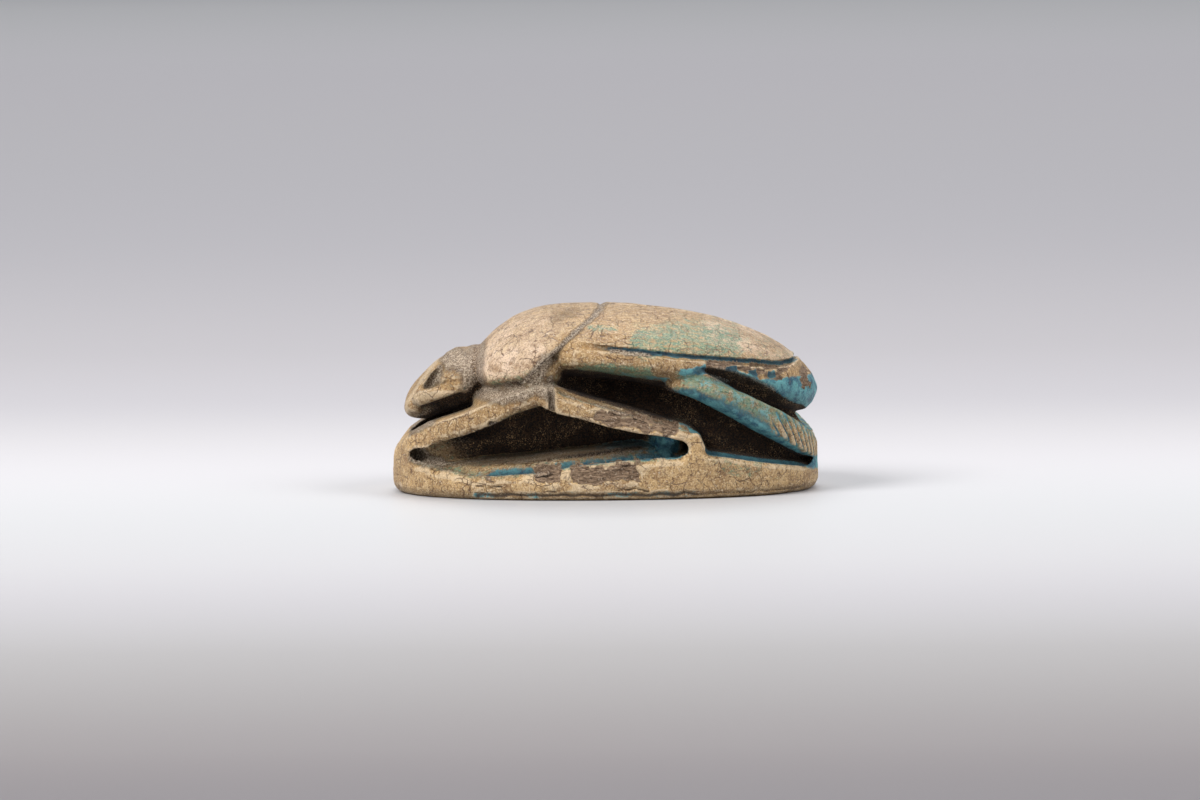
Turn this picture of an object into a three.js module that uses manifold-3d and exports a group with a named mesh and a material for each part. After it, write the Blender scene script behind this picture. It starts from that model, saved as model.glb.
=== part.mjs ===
// Scarab amulet: a beetle carved from one piece of steatite, glazed, and pierced lengthwise for a
// cord or the wire of a ring. Millimetres, +Z up. The beetle faces -X and stands on its oval base,
// whose flat underside is z = 0. The origin is the middle of the underside.

import * as THREE from "three";
import { mergeVertices } from "three/addons/utils/BufferGeometryUtils.js";
import Module from "manifold-3d";

const wasm = await Module();
wasm.setup();

// ---------------------------------------------------------------- driving dimensions
const LENGTH = 17.0; // front of the base to its back
const WIDTH = 12.2; // across the base
const HEIGHT = 7.4; // underside to the top of the back
const BORE_DIAMETER = 1.1; // the hole for the cord
const BORE_HEIGHT = 1.55; // its axis above the underside

// ---------------------------------------------------------------- carving
const SUTURE_WIDTH = 0.26; // the line between shield and wing cases
const SUTURE_DEPTH = 0.13;
const SUTURE_LAP = 0.1; // shield and wing cases share this much under the line
const EDGE_WIDTH = 0.2; // the line along the edge of a wing case
const EDGE_DEPTH = 0.15;
const MEDIAN_WIDTH = 0.2; // the finer line between the wing cases
const MEDIAN_DEPTH = 0.14;
const LEG_GAP_WIDTH = 0.24; // the line between front and middle leg
const LEG_GAP_DEPTH = 0.45;
const BORDER_DEPTH = 0.12; // the line round the underside
const BORDER_INSET = 0.95;
const BORDER_WIDTH = 0.25;

// ---------------------------------------------------------------- fineness
const AROUND = 34; // facets round a rounded form
const ALONG = 22; // facets along a rounded form
const OVAL_SIDES = 60; // facets round the base
const BORE_SIDES = 16;
const LINE_STEPS = 16; // steps along a cut line
const LIMB_SIDES = 12;
const LIMB_STEPS = 16;
const OVAL_SQUARENESS = 2.25; // 2 is an ellipse, more is squarer
const MERGE_DISTANCE = 1e-5;
const SLIVER = 0.006; // edges this short, left where cuts cross, are closed up

const halfLength = LENGTH / 2;
const halfWidth = WIDTH / 2;

// Every place is a percentage: x of the half length, y of the half width, z of the height.
const alongX = (percent) => (percent / 100) * halfLength;
const acrossY = (percent) => (percent / 100) * halfWidth;
const upZ = (percent) => (percent / 100) * HEIGHT;
const place = ([x, y, z]) => new THREE.Vector3(alongX(x), acrossY(y), upZ(z));
const corners = (points) => points.map(([x, z]) => new THREE.Vector2(alongX(x), upZ(z)));

// A smooth line seen from the side (x and z), or from above (x and half width).
const sideLine = (points) => new THREE.SplineCurve(corners(points));
const planLine = (points) =>
  new THREE.SplineCurve(points.map(([x, y]) => new THREE.Vector2(alongX(x), acrossY(y))));

// The second coordinate of a line whose first coordinate only grows.
function valueAt(line, x) {
  let low = 0;
  let high = 1;
  for (let step = 0; step < 40; step++) {
    const middle = (low + high) / 2;
    if (line.getPoint(middle).x < x) low = middle;
    else high = middle;
  }
  return line.getPoint((low + high) / 2).y;
}

// ---------------------------------------------------------------- solids
// A closed three.js geometry as a solid that can be joined and cut.
function solidOf(geometry) {
  const bare = new THREE.BufferGeometry();
  bare.setAttribute("position", geometry.getAttribute("position"));
  bare.setIndex(geometry.getIndex());
  const merged = mergeVertices(bare, MERGE_DISTANCE);
  const mesh = new wasm.Mesh({
    numProp: 3,
    vertProperties: merged.getAttribute("position").array,
    triVerts: new Uint32Array(merged.getIndex().array),
  });
  return new wasm.Manifold(mesh);
}

function geometryOf(solid) {
  const mesh = solid.getMesh();
  const geometry = new THREE.BufferGeometry();
  geometry.setAttribute("position", new THREE.BufferAttribute(mesh.vertProperties, 3));
  geometry.setIndex(new THREE.BufferAttribute(mesh.triVerts, 1));
  geometry.computeVertexNormals();
  return geometry;
}

const joined = (solids) => solids.reduce((whole, next) => whole.add(next));

// Moves every vertex of a geometry to where the rule puts it.
function reshaped(geometry, rule) {
  const positions = geometry.getAttribute("position");
  const from = new THREE.Vector3();
  for (let i = 0; i < positions.count; i++) {
    from.fromBufferAttribute(positions, i);
    const to = rule(from);
    positions.setXYZ(i, to.x, to.y, to.z);
  }
  return geometry;
}

// ---------------------------------------------------------------- rounded forms
// A form like a pebble, given by four lines that share their two ends: its crown and its belly in
// the middle plane, the height of its widest line, and its half width. shrink takes that much off
// all round.
function pebble({ crown, belly, widest, plan, squareness = 2.1 }, shrink = 0) {
  const front = crown.getPoint(0).x;
  const back = crown.getPoint(1).x;
  const power = 2 / squareness;
  const bent = (value) => Math.sign(value) * Math.abs(value) ** power;
  return solidOf(
    reshaped(new THREE.SphereGeometry(1, AROUND, ALONG), (unit) => {
      const wanted = (front + back) / 2 + (unit.y * (back - front)) / 2;
      const x = THREE.MathUtils.clamp(wanted, front, back);
      const middle = valueAt(widest, x);
      const rise = valueAt(crown, x) - middle;
      const drop = middle - valueAt(belly, x);
      const angle = Math.atan2(unit.z, unit.x);
      const atEnd = Math.hypot(unit.x, unit.z) < 1e-6;
      const reach = atEnd ? 0 : 1;
      const upward = bent(Math.sin(angle));
      const keep = (size) => Math.max(size - shrink, size * 0.05) * reach;
      return new THREE.Vector3(
        x - shrink * unit.y,
        -keep(valueAt(plan, x)) * bent(Math.cos(angle)),
        middle + keep(upward > 0 ? rise : drop) * upward,
      );
    }),
  );
}

// An egg-shaped lump, turned about the Y axis by a nose-down angle.
function lump({ at, size, tilt = 0 }) {
  const geometry = new THREE.SphereGeometry(1, LIMB_SIDES, LIMB_SIDES / 2 + 2);
  geometry.scale(alongX(size[0]), acrossY(size[1]), upZ(size[2]));
  geometry.rotateY(THREE.MathUtils.degToRad(tilt));
  const centre = place(at);
  geometry.translate(centre.x, centre.y, centre.z);
  return solidOf(geometry);
}

// A limb that follows a curve. Each stop is a place, a half depth across and a half height, in mm.
function limb(stops) {
  const path = new THREE.CatmullRomCurve3(stops.map((stop) => place(stop.at)));
  const shares = stops.map((stop, i) => i / (stops.length - 1));
  const depths = new THREE.SplineCurve(stops.map((stop, i) => new THREE.Vector2(shares[i], stop.depth)));
  const heights = new THREE.SplineCurve(stops.map((stop, i) => new THREE.Vector2(shares[i], stop.height)));
  const up = new THREE.Vector3(0, 0, 1);
  return solidOf(
    reshaped(new THREE.SphereGeometry(1, LIMB_SIDES, LIMB_STEPS), (unit) => {
      const share = (1 - unit.y) / 2;
      const along = path.getTangent(share);
      const outward = new THREE.Vector3().crossVectors(along, up).normalize();
      const over = new THREE.Vector3().crossVectors(outward, along);
      const radius = Math.hypot(unit.x, unit.z);
      const fill = radius < 1e-6 ? 0 : radius ** 0.45 / radius; // blunt, rounded ends
      return path
        .getPoint(share)
        .addScaledVector(outward, unit.x * fill * depths.getPoint(share).y)
        .addScaledVector(over, -unit.z * fill * heights.getPoint(share).y);
    }),
  );
}

// ---------------------------------------------------------------- prisms
// The oval of the base: rings of it, each at a height and drawn in by some mm, stacked into a solid.
function ovalStack(levels) {
  const power = 2 / OVAL_SQUARENESS;
  const bent = (value) => Math.sign(value) * Math.abs(value) ** power;
  const floors = levels.length - 1;
  return solidOf(
    reshaped(new THREE.CylinderGeometry(1, 1, floors, OVAL_SIDES, floors), (unit) => {
      const [z, inset] = levels[Math.round(floors / 2 - unit.y)];
      const radius = Math.hypot(unit.x, unit.z);
      if (radius < 1e-6) return new THREE.Vector3(0, 0, z);
      const x = (halfLength - inset) * bent(unit.x / radius);
      const y = (halfWidth - inset) * bent(unit.z / radius);
      return new THREE.Vector3(x, y, z);
    }),
  );
}

// A closed outline seen from the side, cut straight through the width.
function sideCut(outline) {
  const geometry = new THREE.ExtrudeGeometry(new THREE.Shape(outline), {
    depth: WIDTH * 1.2,
    bevelEnabled: false,
  });
  geometry.rotateX(Math.PI / 2);
  geometry.translate(0, WIDTH * 0.6, 0);
  return solidOf(geometry);
}

// A strip of even width along a line seen from the side.
function sideStrip(line, width) {
  const near = [];
  const far = [];
  for (let i = 0; i <= LINE_STEPS; i++) {
    const point = line.getPoint(i / LINE_STEPS);
    const along = line.getTangent(i / LINE_STEPS);
    const aside = new THREE.Vector2(-along.y, along.x).multiplyScalar(width / 2);
    near.push(point.clone().add(aside));
    far.unshift(point.clone().sub(aside));
  }
  return sideCut([...near, ...far]);
}

// ---------------------------------------------------------------- the forms of the beetle
const wingCaseForm = {
  crown: sideLine([
    [-38, 70], [-34, 86], [-24, 95], [-9, 99], [7, 100], [31, 97],
    [54, 91.5], [76, 82], [90, 71], [97, 62], [100, 53.5],
  ]),
  belly: sideLine([
    [-38, 70], [-34, 63], [-24, 61], [0, 60.5], [24, 56], [59, 47], [82, 42], [93, 42], [98, 47], [100, 53.5],
  ]),
  widest: sideLine([[-38, 70], [-18, 74], [12, 72], [47, 67.5], [76, 61], [94, 55.5], [100, 53.5]]),
  plan: planLine([
    [-38, 0], [-34, 43], [-27, 66], [-20, 79], [-11, 84], [12, 87], [35, 85],
    [59, 75], [76, 61], [89, 43], [96.5, 26], [100, 0],
  ]),
};

const shieldForm = {
  crown: sideLine([
    [-61, 67.5], [-60, 75], [-56, 81], [-49.5, 88], [-40, 95],
    [-28, 99], [-14, 100], [0, 99.5], [13, 93], [18, 76],
  ]),
  belly: sideLine([[-61, 67.5], [-59, 58], [-47, 54], [0, 54], [15, 62], [18, 76]]),
  widest: sideLine([[-61, 67.5], [-52, 64], [-35, 68], [-24, 73], [0, 76], [18, 76]]),
  plan: planLine([
    [-61, 0], [-60, 42], [-57, 59], [-48, 71], [-33, 80], [-18, 83], [0, 82], [14, 57], [18, 0],
  ]),
};

const headForm = {
  crown: sideLine([
    [-94.7, 44.6], [-93.5, 50.5], [-90.4, 56.8], [-81.4, 68], [-75, 73], [-68, 75.5], [-59, 78], [-54, 67],
  ]),
  belly: sideLine([[-94.7, 44.6], [-92.4, 40.3], [-84.7, 38.6], [-75, 42], [-61, 46], [-55, 54], [-54, 67]]),
  widest: sideLine([[-94.7, 44.6], [-84.7, 50], [-73, 56], [-59, 60.5], [-54, 67]]),
  plan: planLine([
    [-94.7, 0], [-93.9, 17], [-91.2, 26], [-84.7, 34], [-75, 41], [-66, 44], [-59, 40], [-55, 26], [-54, 0],
  ]),
};

// The part of the body that the front legs grow from, under the shield.
const breastForm = {
  crown: sideLine([[-63, 48], [-61, 55], [-54, 61], [-44, 64], [-20, 68], [10, 66], [20, 56]]),
  belly: sideLine([[-63, 48], [-61, 44], [-54, 42], [-20, 43], [10, 46], [20, 56]]),
  widest: sideLine([[-63, 48], [-56, 50], [-40, 53], [-20, 55], [10, 56], [20, 56]]),
  plan: planLine([
    [-63, 0], [-62, 38], [-58, 62], [-50, 77], [-40, 84], [-30, 84], [-22, 73], [-10, 58], [20, 0],
  ]),
};

// What fills the corner on each side between the shield, the wing cases and the breast.
const shoulderForm = {
  crown: sideLine([[-42, 60], [-39, 69], [-29, 77.5], [-17, 82], [-12, 71]]),
  belly: sideLine([[-42, 60], [-39, 55], [-28, 56], [-15, 61], [-12, 71]]),
  widest: sideLine([[-42, 60], [-28, 66], [-12, 71]]),
  plan: planLine([[-42, 0], [-39, 66], [-33, 77], [-26, 77], [-19, 66], [-12, 0]]),
  squareness: 3.6,
};

// What is left in the middle behind the deep openings between the legs.
const coreForm = {
  crown: sideLine([
    [-95, 18], [-94, 23], [-84, 34], [-70, 42], [-56, 54], [-40, 66], [56, 64], [84, 46], [96, 27], [98, 20],
  ]),
  belly: sideLine([[-95, 18], [-94, 11], [-80, 8], [80, 8], [96, 10], [98, 20]]),
  widest: sideLine([[-95, 18], [-80, 24], [0, 30], [84, 26], [98, 20]]),
  plan: planLine([
    [-95, 0], [-92.5, 18], [-82, 34], [-65, 46], [-40, 53], [0, 55],
    [45, 53], [68, 45], [84, 33], [94, 20], [98, 0],
  ]),
  squareness: 3,
};

// The hollow in front, where the head overhangs the front legs.
const throatForm = {
  crown: sideLine([[-92, 38], [-88, 60], [-50, 60], [-44, 45]]),
  belly: sideLine([[-92, 38], [-88, 25], [-66, 31], [-50, 37], [-44, 45]]),
  widest: sideLine([[-92, 38], [-68, 44], [-44, 45]]),
  plan: planLine([[-92, 0], [-89, 18], [-80, 30], [-64, 42], [-50, 40], [-44, 0]]),
  squareness: 2.6,
};

// The upper edge of the block that the legs are carved from: along the front leg to where it meets
// the middle leg, down the middle leg to its foot, then along the top of the base to the back.
const legTop = [
  [-102, 14], [-98, 24], [-92.4, 32], [-81.5, 39.5], [-65.4, 46], [-51.8, 53], [-35.8, 59.5],
  [-29, 60.5], [-22, 60], [-11.3, 55.7], [2, 51], [15.6, 46.5], [29.2, 41.6], [39.3, 38.4],
  [44, 33.6], [46, 28], [47, 25.2], [56.2, 23.2], [69.6, 20.3], [83, 17.7], [95, 15],
  [97.2, 16.5], [98, 26], [102, 26],
];

// The opening between the front and middle legs and the base.
const legWindow = [
  [-92, 21.6], [-79, 18.2], [-60, 14.5], [-34.4, 16.8], [-18, 20], [15.6, 24], [29, 24.6], [37.5, 25.2],
  [38.6, 28], [36, 31], [29, 33.2], [15.6, 35.6], [2, 38.7], [-11.3, 43.4], [-23.8, 46.8], [-29, 49.8],
  [-41, 45.2], [-51.8, 39], [-65.4, 32.8], [-79, 28.1], [-90, 24],
];

const legGapLine = sideLine([[-25, 66], [-25, 56], [-24.5, 46]]);

// ---------------------------------------------------------------- base, legs and breast
const block = ovalStack([
  [0, 0.34],
  [0.1, 0.12],
  [0.34, 0],
  [upZ(22), 0],
  [upZ(64), 0.2],
]);

const blockBehindGap = ovalStack([
  [-1, LEG_GAP_DEPTH],
  [upZ(100), LEG_GAP_DEPTH],
]);

function legsAndBase() {
  const below = [new THREE.Vector2(alongX(102), -1), new THREE.Vector2(alongX(-102), -1)];
  const carved = block.intersect(sideCut([...corners(legTop), ...below])).subtract(pebble(throatForm));
  const breast = pebble(breastForm).intersect(block).add(pebble(shoulderForm));
  const core = pebble(coreForm);
  const opening = sideCut(corners(legWindow)).subtract(core);
  const gap = sideStrip(legGapLine, LEG_GAP_WIDTH).subtract(blockBehindGap);
  return joined([carved, breast]).subtract(opening).subtract(gap).add(core);
}

function hindLeg(side) {
  const stops = [
    { at: [28, 71 * side, 60], depth: 0.55, height: 0.4 },
    { at: [42, 76 * side, 58.5], depth: 0.75, height: 0.52 },
    { at: [56, 73 * side, 51.5], depth: 0.85, height: 0.56 },
    { at: [69, 65 * side, 43.5], depth: 0.85, height: 0.6 },
    { at: [83, 49 * side, 34], depth: 0.85, height: 0.62 },
    { at: [93, 29 * side, 25.5], depth: 0.85, height: 0.62 },
    { at: [97, 8 * side, 22], depth: 0.7, height: 0.58 },
  ];
  return limb(stops).intersect(block);
}

// The hollow between the edge of a wing case and the hind leg.
function hindHollow(side) {
  return limb([
    { at: [44, 84 * side, 69.5], depth: 0.35, height: 0.1 },
    { at: [52, 80 * side, 66.5], depth: 0.7, height: 0.2 },
    { at: [66, 70 * side, 59.5], depth: 0.85, height: 0.34 },
    { at: [80, 55 * side, 50.5], depth: 0.85, height: 0.28 },
    { at: [93, 36 * side, 41], depth: 0.8, height: 0.22 },
  ]);
}

// ---------------------------------------------------------------- back
const sutureLine = sideLine([[4, 103.5], [-14, 88], [-28, 73], [-38, 62]]);
const edgeLine = sideLine([
  [-11, 81.8], [4, 80], [17, 78.4], [32, 76.1], [48, 74.2], [66, 71.8], [79, 69.7], [87, 69.4], [91, 71.5],
]);

const medianStart = alongX(4);
const medianEnd = alongX(90);

// The line between the wing cases, cut from above.
function medianStrip() {
  const geometry = new THREE.BoxGeometry(medianEnd - medianStart, MEDIAN_WIDTH, HEIGHT);
  geometry.translate((medianStart + medianEnd) / 2, 0, HEIGHT);
  return solidOf(geometry);
}

function back() {
  const inFrontOfSuture = sideCut([
    ...sutureLine.getPoints(8),
    ...corners([[-38, 30], [-70, 30], [-70, 110], [4, 110]]),
  ]);
  const shield = pebble(shieldForm).intersect(inFrontOfSuture);
  const wingCases = pebble(wingCaseForm).subtract(inFrontOfSuture.translate([-SUTURE_LAP, 0, 0]));
  const under = (depth) => joined([pebble(shieldForm, depth), pebble(wingCaseForm, depth)]);
  const suture = sideStrip(sutureLine, SUTURE_WIDTH).subtract(under(SUTURE_DEPTH));
  const edge = sideStrip(edgeLine, EDGE_WIDTH).subtract(under(EDGE_DEPTH));
  const median = medianStrip().subtract(under(MEDIAN_DEPTH));
  return joined([shield, wingCases]).subtract(joined([suture, edge, median]));
}

// ---------------------------------------------------------------- head
// A shovel-shaped plate with a domed crown behind it. On each side its edge overhangs a hollow, and
// a long eye tapers back below that.
function eye(side) {
  return limb([
    { at: [-89.5, 27 * side, 50], depth: 0.35, height: 0.24 },
    { at: [-84, 33 * side, 51.8], depth: 0.5, height: 0.37 },
    { at: [-76, 37 * side, 53.4], depth: 0.5, height: 0.27 },
    { at: [-68, 39 * side, 55.6], depth: 0.4, height: 0.14 },
  ]);
}

function head() {
  const crown = lump({ at: [-66, 0, 66.5], size: [11.5, 30, 11], tilt: 12 });
  const hollows = [];
  for (const side of [-1, 1]) {
    hollows.push(lump({ at: [-79.5, 35 * side, 63.5], size: [9.5, 14, 3.8], tilt: -56 }));
    hollows.push(lump({ at: [-70, 50 * side, 43], size: [12, 16, 6], tilt: -14 }));
  }
  return pebble(headForm).add(crown).subtract(joined(hollows)).add(eye(-1)).add(eye(1));
}

// ---------------------------------------------------------------- cuts
function bore() {
  const radius = BORE_DIAMETER / 2;
  const geometry = new THREE.CylinderGeometry(radius, radius, LENGTH * 1.2, BORE_SIDES);
  geometry.rotateZ(Math.PI / 2);
  geometry.translate(0, 0, BORE_HEIGHT);
  return solidOf(geometry);
}

function borderLine() {
  const outer = ovalStack([
    [-1, BORDER_INSET],
    [BORDER_DEPTH, BORDER_INSET],
  ]);
  const inner = ovalStack([
    [-2, BORDER_INSET + BORDER_WIDTH],
    [1, BORDER_INSET + BORDER_WIDTH],
  ]);
  return outer.subtract(inner);
}

const scarabSolid = joined([legsAndBase(), back(), head()])
  .subtract(joined([hindHollow(-1), hindHollow(1)]))
  .add(joined([hindLeg(-1), hindLeg(1)]))
  .subtract(bore())
  .subtract(borderLine())
  .asOriginal()
  .simplify(SLIVER);

// ---------------------------------------------------------------- scene graph
const wornGlaze = new THREE.MeshStandardMaterial({ color: 0xbda274, roughness: 0.5, metalness: 0 });
const scarab = new THREE.Mesh(geometryOf(scarabSolid), wornGlaze);
scarab.name = "scarab";

const amulet = new THREE.Group();
amulet.add(scarab);

export default amulet;
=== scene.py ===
# %% [markdown]
# # A worn glazed scarab amulet
# The real object is one beetle about 17 mm long, carved from soft steatite, glazed blue-green and fired.
# Most of the glaze has weathered to tan, and blue is left only where fingers never reached: in the cut
# lines, on the hind legs and under the tail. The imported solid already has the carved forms. This notebook
# gives it what only shows close up: softened edges, flaked scars, notches, crackle, dust, packed dirt and
# what is left of the glaze.
# %% Load the frame
import math

import bpy
import numpy as np
from mathutils import Matrix, Vector, noise
from mathutils.bvhtree import BVHTree


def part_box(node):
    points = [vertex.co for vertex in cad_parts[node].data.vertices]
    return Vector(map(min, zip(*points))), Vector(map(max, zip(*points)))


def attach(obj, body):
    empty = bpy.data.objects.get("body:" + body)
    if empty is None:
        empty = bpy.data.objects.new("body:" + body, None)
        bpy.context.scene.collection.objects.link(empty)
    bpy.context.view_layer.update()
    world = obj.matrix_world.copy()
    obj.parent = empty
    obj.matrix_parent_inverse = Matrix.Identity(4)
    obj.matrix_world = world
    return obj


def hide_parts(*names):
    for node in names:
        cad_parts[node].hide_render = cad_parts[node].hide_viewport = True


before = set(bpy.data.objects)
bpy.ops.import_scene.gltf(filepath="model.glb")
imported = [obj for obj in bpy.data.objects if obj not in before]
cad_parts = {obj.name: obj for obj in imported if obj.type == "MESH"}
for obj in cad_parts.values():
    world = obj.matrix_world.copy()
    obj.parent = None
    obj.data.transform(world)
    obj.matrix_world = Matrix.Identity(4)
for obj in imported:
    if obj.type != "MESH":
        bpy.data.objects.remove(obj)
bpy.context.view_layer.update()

MM = 0.001
low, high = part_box("scarab")
HALF_LENGTH = (high.x - low.x) / 2 / MM
HALF_WIDTH = (high.y - low.y) / 2 / MM
HEIGHT = (high.z - low.z) / MM
print(f"scarab {2 * HALF_LENGTH:.2f} x {2 * HALF_WIDTH:.2f} x {HEIGHT:.2f} mm")

# %% [markdown]
# ## Camera
# The camera looks across the beetle's left flank from a little above the table, with its head to the
# left. A long lens from far away keeps the two ends of so small a thing in proportion.
# %% Camera
VIEW_DISTANCE = 0.34
VIEW_ELEVATION = math.radians(4.3)
VIEW_ROLL = math.radians(-0.5)
VIEW_WIDTH = 0.048  # what the picture spans at the scarab
SENSOR_WIDTH = 36
NEAR_CLIP = 0.01
AIM = Vector((-0.0002, 0, 0.00353))


def add_camera():
    """A camera that looks along +Y and slightly down at the aim."""
    offset = Vector((0, -math.cos(VIEW_ELEVATION), math.sin(VIEW_ELEVATION))) * VIEW_DISTANCE
    bpy.ops.object.camera_add(location=AIM + offset)
    camera = bpy.context.object
    tilt = Matrix.Rotation(math.pi / 2 - VIEW_ELEVATION, 4, "X") @ Matrix.Rotation(VIEW_ROLL, 4, "Z")
    camera.rotation_euler = tilt.to_euler()
    camera.data.sensor_width = SENSOR_WIDTH
    camera.data.lens = SENSOR_WIDTH * VIEW_DISTANCE / VIEW_WIDTH
    camera.data.clip_start = NEAR_CLIP
    bpy.context.scene.camera = camera
    print(f"camera {camera.data.lens:.0f} mm at {tuple(round(v, 4) for v in camera.location)}")


add_camera()

# %% [markdown]
# ## Shader helpers
# Materials are built in code here, so a few short helpers keep them readable: one adds a node and fills
# its inputs, the others do a sum, a soft step and a mix of two colours. Colours are written as on a
# screen, 0 to 255, and turned into the linear light that Cycles works in.
# %% Node helpers
def feed(tree, socket, value):
    """Links a socket, or sets its own value."""
    if isinstance(value, bpy.types.NodeSocket):
        tree.links.new(value, socket)
    else:
        socket.default_value = value


def node(tree, kind, inputs, **settings):
    """A shader node with these settings, its inputs linked or set by name or number."""
    made = tree.nodes.new("ShaderNode" + kind)
    for name, value in settings.items():
        setattr(made, name, value)
    for name, value in inputs.items():
        feed(tree, made.inputs[name], value)
    return made


def sum_of(tree, operation, first, second=0.0):
    return node(tree, "Math", {0: first, 1: second}, operation=operation).outputs[0]


def step(tree, value, start, end):
    """0 before start and 1 after end, with a soft change between."""
    inputs = {"Value": value, "From Min": start, "From Max": end}
    return node(tree, "MapRange", inputs, interpolation_type="SMOOTHSTEP").outputs[0]


def mix(tree, share, under, over):
    """The colour under, covered by the colour over where the share is 1."""
    return node(tree, "Mix", {0: share, 6: under, 7: over}, data_type="RGBA").outputs[2]


def tone(red, green, blue):
    """A colour as a screen shows it, in linear light."""
    shares = [value / 255 for value in (red, green, blue)]
    linear = [((s + 0.055) / 1.055) ** 2.4 if s > 0.04045 else s / 12.92 for s in shares]
    return (*linear, 1.0)


# %% [markdown]
# ## Stage
# A museum's studio table: one pale sweep that is nearly white where the light falls, round the scarab,
# and turns to a soft grey behind and in front. That fall of light is painted: a colour ramp along the
# table, on one large subdivided plane, which is steadier than trying to get the same fall of light from
# lamps alone.
# %% Floor
FLOOR_SIZE = 6.0
FLOOR_CUTS = 7
FLOOR_ROUGHNESS = 0.42
# Painted light on the table: each stop gives the painted tone of the light at that distance
FLOOR_PAINTED_LIGHT = [  # metres behind the scarab, and the tone there
    (-0.105, (93, 88, 92)),
    (-0.090, (109, 100, 101)),
    (-0.062, (153, 151, 150)),
    (-0.046, (175, 172, 176)),
    (-0.031, (190, 188, 190)),
    (-0.010, (197, 198, 199)),
    (0.010, (209, 206, 209)),
    (0.030, (194, 191, 193)),
    (0.047, (180, 177, 182)),
    (0.080, (174, 170, 173)),
    (0.180, (158, 156, 161)),
    (0.350, (169, 167, 170)),
    (0.500, (191, 188, 193)),
    (0.680, (247, 247, 247)),
]


def floor_material():
    material = bpy.data.materials.new("pale_sweep")
    material.use_nodes = True
    tree = material.node_tree
    shader = tree.nodes["Principled BSDF"]
    place = node(tree, "TexCoord", {}).outputs["Object"]
    along = node(tree, "SeparateXYZ", {0: place}).outputs["Y"]
    first, last = FLOOR_PAINTED_LIGHT[0][0], FLOOR_PAINTED_LIGHT[-1][0]
    share = node(tree, "MapRange", {"Value": along, "From Min": first, "From Max": last}).outputs[0]
    ramp = node(tree, "ValToRGB", {"Fac": share})
    ramp.color_ramp.interpolation = "B_SPLINE"
    for distance, colour in FLOOR_PAINTED_LIGHT[1:-1]:
        ramp.color_ramp.elements.new((distance - first) / (last - first))
    for stop, (distance, colour) in zip(ramp.color_ramp.elements, FLOOR_PAINTED_LIGHT):
        stop.color = tone(*colour)
    feed(tree, shader.inputs["Base Color"], ramp.outputs["Color"])
    shader.inputs["Roughness"].default_value = FLOOR_ROUGHNESS
    return material


def add_floor():
    bpy.ops.mesh.primitive_plane_add(size=FLOOR_SIZE)
    floor = bpy.context.object
    floor.name = "photo_table"
    bpy.ops.object.mode_set(mode="EDIT")
    bpy.ops.mesh.subdivide(number_cuts=FLOOR_CUTS)
    bpy.ops.object.mode_set(mode="OBJECT")
    floor.data.materials.append(floor_material())
    print(f"floor {FLOOR_SIZE} m, {len(floor.data.polygons)} faces")


add_floor()

# %% [markdown]
# ## Light
# Three soft boxes: the key, above and to the left, gives the sheen on the shield, a weaker one on the
# right lights the tail, and one behind draws a pale line along the back. An even, slightly cool world
# fills the rest, so the hollows stay dark but not black.
# %% Lights
SOFTBOXES = [  # name, place and size in metres, power in watts
    ("key_softbox", (-0.30, -0.22, 0.32), 0.24, 2.5),
    ("right_softbox", (0.36, -0.14, 0.34), 0.26, 1.25),
    ("rear_softbox", (0.0, 0.34, 0.42), 0.35, 1.6),
]
WORLD_TONE = (232, 234, 240)
WORLD_STRENGTH = 0.38

for name, place, size, power in SOFTBOXES:
    bpy.ops.object.light_add(type="AREA", location=place)
    lamp = bpy.context.object
    lamp.name = name
    lamp.data.size = size
    lamp.data.energy = power
    lamp.rotation_euler = (AIM - Vector(place)).to_track_quat("-Z", "Y").to_euler()

world = bpy.data.worlds.new("soft_studio")
world.use_nodes = True
world.node_tree.nodes["Background"].inputs["Color"].default_value = tone(*WORLD_TONE)
world.node_tree.nodes["Background"].inputs["Strength"].default_value = WORLD_STRENGTH
bpy.context.scene.world = world
bpy.context.scene.view_settings.view_transform = "Standard"

# %% [markdown]
# ## The worn solid
# Long handling leaves no crisp edge on soft stone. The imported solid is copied, its loose triangles are
# merged, and it is scaled up a thousand times, so that one unit is a millimetre. A voxel remesh then
# gives it an even skin fine enough to carve in, and smoothing rounds every edge by about a fifth of a
# millimetre. A bevel would be the usual way, but it can't follow edges that were carved freely.
# %% Copy and remesh
TO_MM = Matrix.Scale(1 / MM, 4)
TO_METRES = Matrix.Scale(MM, 4)
MERGE_DISTANCE = 0.0001
VOXEL = 0.066
SMOOTHING = 0.5
ROUNDING_PASSES = 4


def pick_only(thing):
    bpy.ops.object.select_all(action="DESELECT")
    thing.select_set(True)
    bpy.context.view_layer.objects.active = thing


def apply_modifier(thing, kind, **settings):
    """Adds a modifier with these settings and applies it."""
    modifier = thing.modifiers.new(kind.lower(), kind)
    for name, value in settings.items():
        setattr(modifier, name, value)
    pick_only(thing)
    bpy.ops.object.modifier_apply(modifier=modifier.name)


scarab = bpy.data.objects.new("worn_scarab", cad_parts["scarab"].data.copy())
bpy.context.collection.objects.link(scarab)
scarab.data.transform(TO_MM)
pick_only(scarab)
bpy.ops.object.mode_set(mode="EDIT")
bpy.ops.mesh.select_all(action="SELECT")
bpy.ops.mesh.remove_doubles(threshold=MERGE_DISTANCE)
bpy.ops.object.mode_set(mode="OBJECT")
apply_modifier(scarab, "REMESH", mode="VOXEL", voxel_size=VOXEL, use_smooth_shade=True)
apply_modifier(scarab, "SMOOTH", factor=SMOOTHING, iterations=ROUNDING_PASSES)
print(f"skin of {len(scarab.data.polygons)} faces")

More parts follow.
